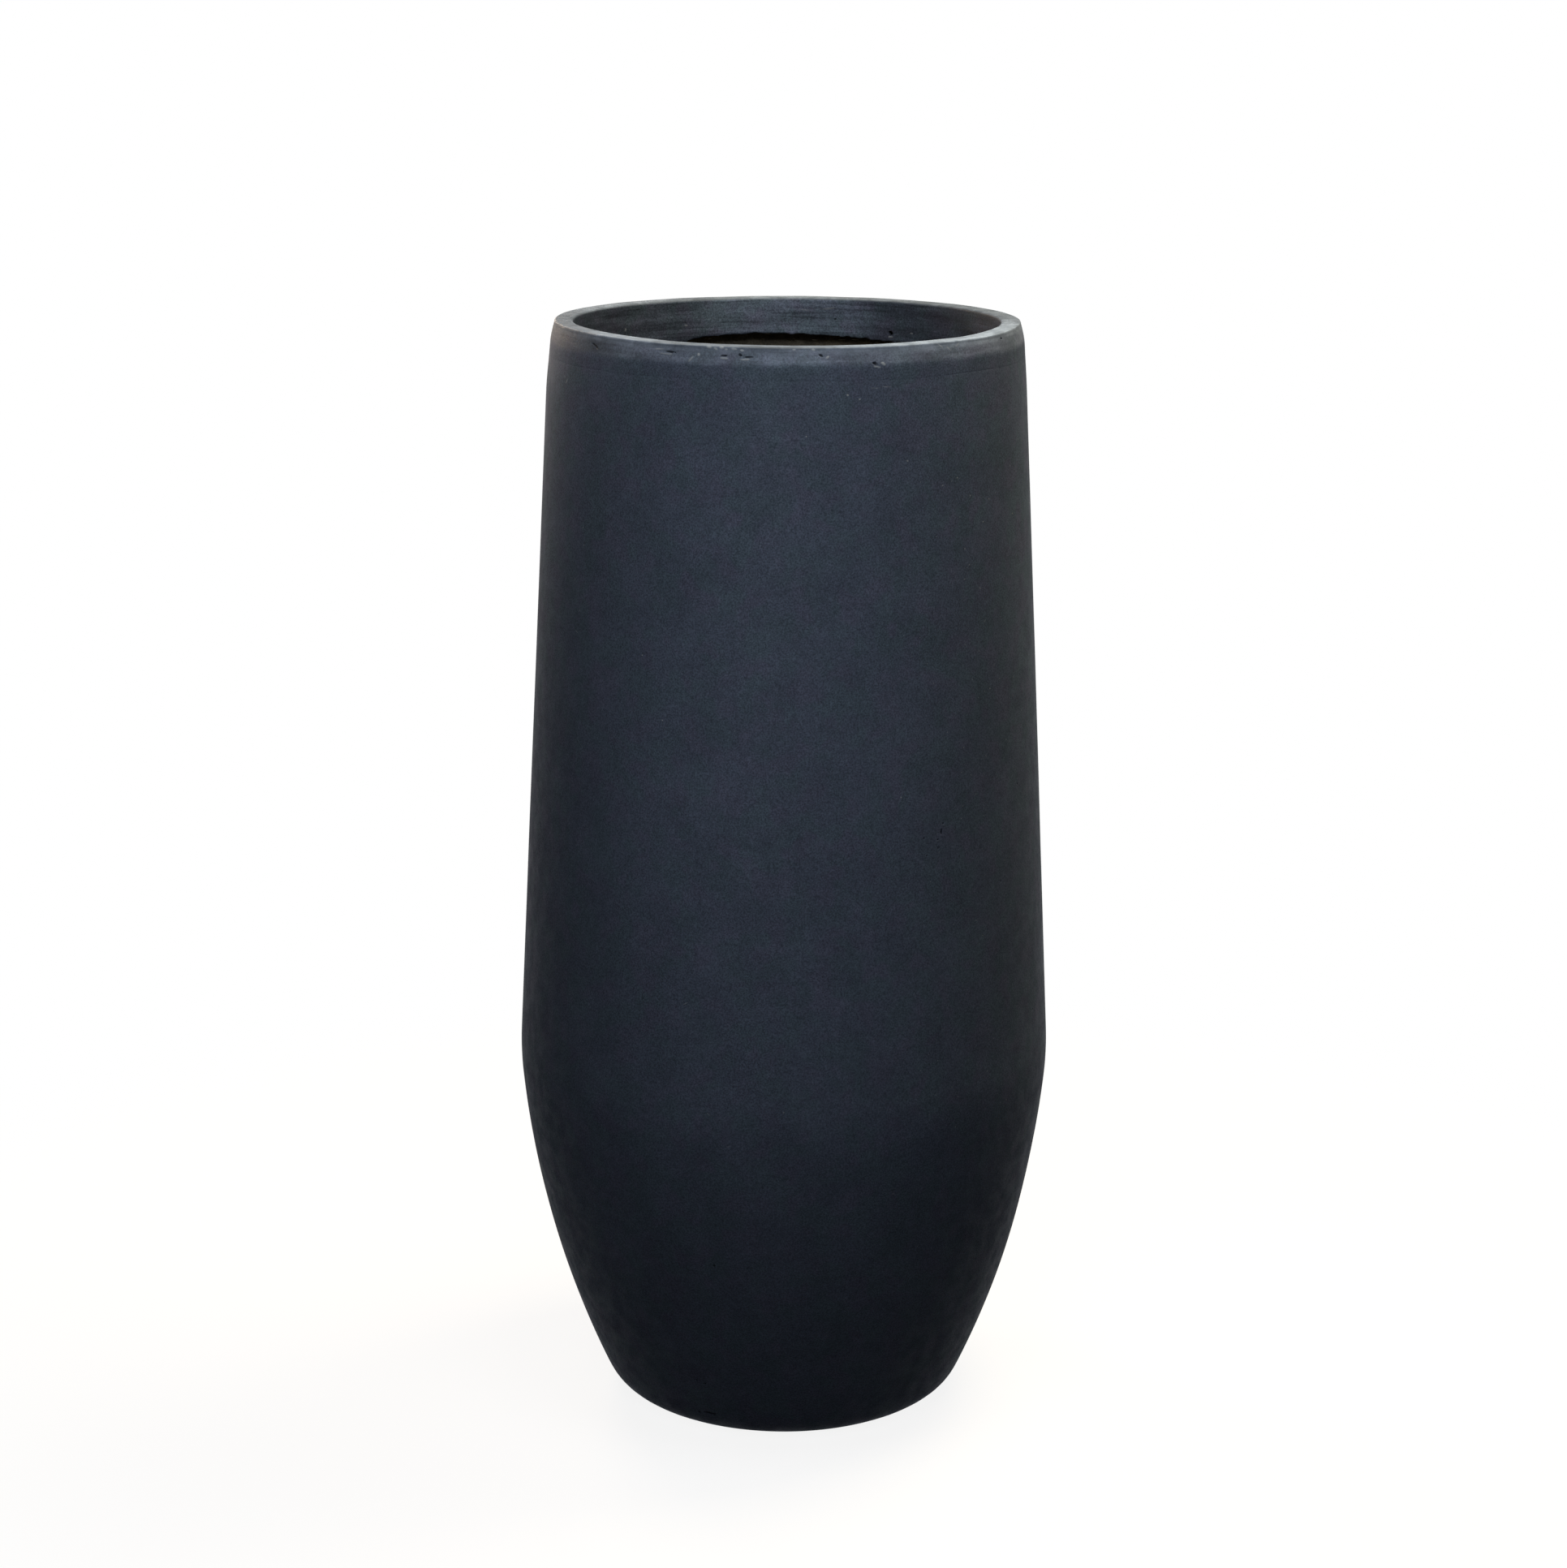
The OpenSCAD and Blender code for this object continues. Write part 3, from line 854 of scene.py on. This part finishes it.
def rim_concrete():
    """The same pigment as a trowelled paste: streaked along the rim, and lighter on its top partly from
    wear and partly as a painted reflection, with painted highlights and shade by azimuth on the lip, band
    and top.
    """
    f = Finish("rim_concrete", Specular_IOR_Level=0.02)
    streaks = f.streaks(1.4 * MM, 22 * MM, seed=1)
    smears = f.streaks(4.5 * MM, 34 * MM, seed=5)
    patches = f.noise(24 * MM, 4, 0.6, seed=31)
    outside = f.span(f.radius, MOUTH_R + 6 * MM, MOUTH_R + 8 * MM, 0, 1)
    # The lip's tone has a painted highlight at the back and painted shade at both ends; the band's has a
    # painted highlight at the front and painted shade on the left
    lip = f.product(
        f.span(smears, 0.3, 0.7, 0.76, 1.26),
        f.side(181, 32, 1.62, 0.66),
        f.side(-100, 45, 0.60),
        f.side(112, 34, 0.78),
        f.span(f.streaks(1.3 * MM, 30 * MM, seed=23), 0.54, 0.68, 1.0, 0.66))
    band = f.product(
        f.span(patches, 0.35, 0.62, 1.08, 1.62),
        f.span(smears, 0.3, 0.7, 0.90, 1.10),
        # Painted highlight at the front of the band and painted shade on its left
        f.side(1, 20, 1.42),
        f.side(-70, 34, 0.56))
    tone = f.product(
        f.blend(outside, lip, band),
        f.span(streaks, 0.3, 0.7, 0.88, 1.12),
        f.span(f.noise(1.2 * MM, 3, 0.6, seed=17), 0.25, 0.75, 0.80, 1.20))
    # On the outside the paste thins out over the coat, along an uneven line at the foot of the band
    uneven = f.math("MULTIPLY", f.noise(9 * MM, 4, 0.6, seed=9), 5 * MM)
    low = f.math("SUBTRACT", f.height, uneven)
    thin = f.math("MULTIPLY", f.span(low, NECK_Z - 4 * MM, NECK_Z - 1 * MM, 1, 0), outside)
    greyer = f.math("MULTIPLY", f.math("SUBTRACT", outside, thin), 0.4)
    paste = f.mix(greyer, charcoal_colour(f), PASTE_GREY)
    colour = f.shade(paste, f.blend(thin, tone, 1.0))
    # The top is lighter, partly from wear and partly as a painted reflection, and patches of its outer edge
    # are worn paler
    level = f.total(f.height, f.math("MULTIPLY", f.near(DIP_AZIMUTH, DIP_SPREAD), DIP))
    worn_lit_from = f.blend(outside, TOP_Z - 1.6 * MM, TOP_Z - 2.6 * MM)
    rubbed_and_lit = f.span(level, worn_lit_from, TOP_Z - 0.4 * MM, 0, 1)
    chafed = f.span(f.math("ADD", level, uneven), TOP_Z - 2.5 * MM, TOP_Z + 0.5 * MM, 0, 0.5)
    chafed = f.math("MULTIPLY", chafed, outside)
    worn_lit_top = f.mix(f.span(f.noise(7 * MM, 4, 0.6, seed=21), 0.35, 0.65, 0, 1), WORN_LIT_TOP_DARK, WORN_LIT_TOP_PALE)
    # Painted highlights and painted shade by azimuth on the top
    worn_lit_top = f.shade(
        worn_lit_top,
        f.span(streaks, 0.3, 0.7, 0.85, 1.15),
        f.side(50, 48, 1.95, 0.93),
        f.side(-44, 16, 1.7),
        f.side(-86, 24, 0.80),
        f.side(-126, 28, 1.40),
        f.side(184, 28, 1.45))
    colour = f.mix(f.math("MAXIMUM", rubbed_and_lit, chafed), colour, worn_lit_top)
    # Real pale flecks, with painted highlights on the burrs and on the bubble's lower edge
    colour = f.mix(f.pale, colour, RIM_FLECK_AND_HIGHLIGHT)
    # Painted shade in the nicks and bubbles
    colour = f.mix(f.hollow, colour, PAINTED_HOLE_SHADE)
    roughness = f.blend(thin, f.span(streaks, 0.3, 0.7, 0.48, 0.62), charcoal_roughness(f))
    waves, lumps, grains = charcoal_relief(f)
    trowelled = f.total(
        f.math("MULTIPLY", streaks, 0.09),
        f.math("MULTIPLY", f.noise(2.4 * MM, 3, 0.6, seed=12), 0.07))
    height = f.total(f.blend(thin, trowelled, f.total(waves, lumps)), grains)
    return f.done(colour, roughness, f.bump(height, MM))


def raw_concrete():
    """Unfaced fibre cement: brownish, lumpy, with sand grains and stray glass strands."""
    f = Finish("raw_concrete", Specular_IOR_Level=0.2)
    sand = f.noise(1.1 * MM, 2, 0.6, seed=4)
    colour = f.mix(f.span(f.noise(18 * MM, 4, 0.6, seed=3), 0.3, 0.7, 0, 1), MORTAR_DARK, MORTAR_LIGHT)
    colour = f.shade(colour, f.span(sand, 0.2, 0.8, 0.65, 1.35))
    strands = f.span(f.noise(1.0 * MM, 1, stretch=(9, 9, 0.8), seed=6), 0.68, 0.76, 0, 0.5)
    colour = f.mix(strands, colour, GLASS_STRAND)
    roughness = f.span(f.noise(6 * MM, 3, seed=7), 0.3, 0.7, 0.78, 0.94)
    relief = f.bump(f.noise(5 * MM, 4, 0.6, seed=8), 0.9 * MM, 0.8)
    relief = f.bump(sand, 0.35 * MM, 0.9, relief)
    return f.done(colour, roughness, relief)


def glass_fibre():
    """Chopped glass mat soaked in cement: crossed strands in a plain weave."""
    f = Finish("glass_fibre", Specular_IOR_Level=0.4)
    warp = f.noise(1.6 * MM, 1, stretch=(1, 1, 14), seed=1)
    weft = f.noise(1.6 * MM, 1, stretch=(10, 10, 0.6), seed=2)
    strands = f.math("MAXIMUM", warp, weft)
    colour = f.mix(f.span(strands, 0.45, 0.7, 0, 1), MAT_CEMENT, GLASS_STRAND)
    roughness = f.span(strands, 0.4, 0.7, 0.75, 0.45)
    relief = f.bump(strands, 0.4 * MM, 0.8)
    return f.done(colour, roughness, relief)


def moulded_plastic():
    """Grey drain pipe plastic, with fine turning lines and a dull, scuffed skin."""
    f = Finish("sleeve_plastic", Specular_IOR_Level=0.3)
    scuffs = f.noise(7 * MM, 5, 0.7, seed=2)
    lines = f.noise(0.5 * MM, 1, stretch=(30, 30, 1), seed=3)
    colour = f.mix(f.span(scuffs, 0.35, 0.7, 0, 1), PIPE_GREY, PIPE_SCUFFED)
    roughness = f.span(scuffs, 0.3, 0.7, 0.36, 0.56)
    relief = f.bump(lines, 0.06 * MM, 0.6)
    relief = f.bump(f.noise(3 * MM, 2, seed=5), 0.08 * MM, 0.4, relief)
    return f.done(colour, roughness, relief)


def black_rubber():
    """Moulded black rubber with a fine matt grain, and cement dust caught in it."""
    f = Finish("black_rubber", Specular_IOR_Level=0.18)
    dust = f.noise(5 * MM, 5, 0.7, seed=1)
    colour = f.mix(f.span(dust, 0.5, 0.78, 0, 0.55), RUBBER, RUBBER_DUST)
    roughness = f.span(dust, 0.35, 0.7, 0.52, 0.8)
    relief = f.bump(f.noise(0.45 * MM, 2, seed=4), 0.06 * MM, 0.7)
    relief = f.bump(f.noise(4 * MM, 2, seed=6), 0.1 * MM, 0.4, relief)
    return f.done(colour, roughness, relief)


# Stage, lamps and camera


def white_where_seen(tree, dim, white):
    """A shader that is white to the camera and in reflections, and dim to all other light."""
    path = tree.nodes.new("ShaderNodeLightPath")
    seen = path.outputs["Is Camera Ray"]
    for name in ("Is Glossy Ray", "Is Transmission Ray"):
        either = tree.nodes.new("ShaderNodeMath")
        either.operation = "MAXIMUM"
        tree.links.new(seen, either.inputs[0])
        tree.links.new(path.outputs[name], either.inputs[1])
        seen = either.outputs[0]
    return mixed_shader(tree, seen, dim, white)


def mixed_shader(tree, share, first, second):
    """From the first shader at share 0 to the second at share 1."""
    mixed = tree.nodes.new("ShaderNodeMixShader")
    for number, output in enumerate((share, first, second)):
        tree.links.new(output, mixed.inputs[number])
    return mixed.outputs[0]


def make_world():
    """White where it is seen, and a weak even fill for the object."""
    world = bpy.data.worlds.new("studio")
    bpy.context.scene.world = world
    world.use_nodes = True
    tree = world.node_tree
    fill = tree.nodes["Background"]
    fill.inputs["Color"].default_value = opaque(WORLD_TINT)
    fill.inputs["Strength"].default_value = WORLD_LIGHT
    white = tree.nodes.new("ShaderNodeBackground")
    white.inputs["Color"].default_value = opaque(WHITE)
    shown = white_where_seen(tree, fill.outputs[0], white.outputs[0])
    tree.links.new(shown, tree.nodes["World Output"].inputs["Surface"])


def make_studio_floor():
    """A pale floor that keeps the planter's soft shadow and fades to white away from it."""
    bm = bmesh.new()
    below = Matrix.Translation((0, 0, -FLOOR_GAP))
    bmesh.ops.create_circle(bm, cap_ends=True, radius=STAGE_R, segments=STAGE_SIDES, matrix=below)
    mesh = bpy.data.meshes.new("studio_floor")
    bm.to_mesh(mesh)
    bm.free()
    mesh.materials.append(studio_floor_material())
    floor = bpy.data.objects.new("studio_floor", mesh)
    bpy.context.scene.collection.objects.link(floor)


def studio_floor_material():
    """White away from the planter, with a share of the floor's own shading beside it."""
    material = bpy.data.materials.new("studio_floor")
    material.use_nodes = True
    tree = material.node_tree
    nodes, links = tree.nodes, tree.links
    nodes.remove(nodes["Principled BSDF"])
    bounce = nodes.new("ShaderNodeBsdfDiffuse")
    bounce.inputs["Color"].default_value = opaque(FLOOR_BOUNCE)
    catcher = nodes.new("ShaderNodeBsdfDiffuse")
    catcher.inputs["Color"].default_value = opaque(FLOOR_PALE)
    white = nodes.new("ShaderNodeEmission")
    white.inputs["Strength"].default_value = 1.0
    place = nodes.new("ShaderNodeTexCoord")
    away = nodes.new("ShaderNodeVectorMath")
    away.operation = "LENGTH"
    links.new(place.outputs["Object"], away.inputs[0])
    fade = nodes.new("ShaderNodeMapRange")
    fade.interpolation_type = "SMOOTHSTEP"
    fade.inputs["From Min"].default_value = SHADOW_FROM
    fade.inputs["From Max"].default_value = SHADOW_TO
    fade.inputs["To Min"].default_value = SHADOW_SHARE
    fade.inputs["To Max"].default_value = 0.0
    links.new(away.outputs["Value"], fade.inputs["Value"])
    pale = mixed_shader(tree, fade.outputs["Result"], white.outputs[0], catcher.outputs[0])
    shown = white_where_seen(tree, bounce.outputs[0], pale)
    links.new(shown, nodes["Material Output"].inputs["Surface"])
    return material


def lamp(name, azimuth, elevation, distance, target_z, size, power, colour):
    """A square soft box that points at a height on the planter's axis, from that far away."""
    data = bpy.data.lights.new(name, "AREA")
    data.shape = "SQUARE"
    data.size = size
    data.energy = power
    data.color = colour
    light = bpy.data.objects.new(name, data)
    rise = math.radians(elevation)
    away = on_planter(azimuth, distance * math.cos(rise), distance * math.sin(rise))
    light.location = away + Vector((0, 0, target_z))
    light.rotation_euler = (-away).to_track_quat("-Z", "Y").to_euler()
    light.visible_camera = False
    bpy.context.scene.collection.objects.link(light)


def make_lamps():
    """Two soft boxes in front, one close to the rim on the left, and two from behind."""
    lamp("front_top_box", azimuth=3, elevation=60, distance=0.55, target_z=0.50,
         size=0.25, power=3.55, colour=(0.97, 0.97, 0.95))
    lamp("front_low_box", azimuth=-6, elevation=10, distance=0.55, target_z=0.35,
         size=0.25, power=1.24, colour=(0.94, 0.95, 1.0))
    lamp("left_rim_box", azimuth=-88, elevation=38, distance=0.29, target_z=0.54,
         size=0.10, power=0.52, colour=(1.0, 0.88, 0.76))
    lamp("back_left_box", azimuth=-140, elevation=28, distance=0.70, target_z=0.45,
         size=0.25, power=6.6, colour=(1.0, 0.78, 0.58))
    lamp("back_right_box", azimuth=113, elevation=60, distance=0.90, target_z=0.50,
         size=0.50, power=25.5, colour=(1.0, 0.84, 0.58))


def make_camera():
    """The photograph's camera."""
    data = bpy.data.cameras.new("photo_camera")
    data.lens = CAMERA_LENS
    camera = bpy.data.objects.new("photo_camera", data)
    level = Euler((math.pi / 2 - CAMERA_TILT, 0, 0)).to_quaternion()
    camera.rotation_mode = "QUATERNION"
    camera.rotation_quaternion = level @ Quaternion((0, 0, 1), CAMERA_ROLL)
    camera.location = CAMERA_PLACE
    bpy.context.scene.collection.objects.link(camera)
    bpy.context.scene.camera = camera


# The whole scene

raw = raw_concrete()
make_coat(charcoal_concrete())
make_rim(rim_concrete())
make_backing(raw)
make_floor(raw)
for node, material, slot in (
        ("fibre_mat", glass_fibre(), "glass_fibre"),
        ("drain_sleeve", moulded_plastic(), "sleeve_plastic"),
        ("drain_plug", black_rubber(), "black_rubber"),
        ("foot_pads", black_rubber(), "black_rubber")):
    kept = frame["nodes"][node]
    kept.data.materials.clear()
    kept.data.materials.append(material)

make_studio_floor()
make_world()
make_lamps()
make_camera()

bpy.context.scene.view_settings.view_transform = "Standard"
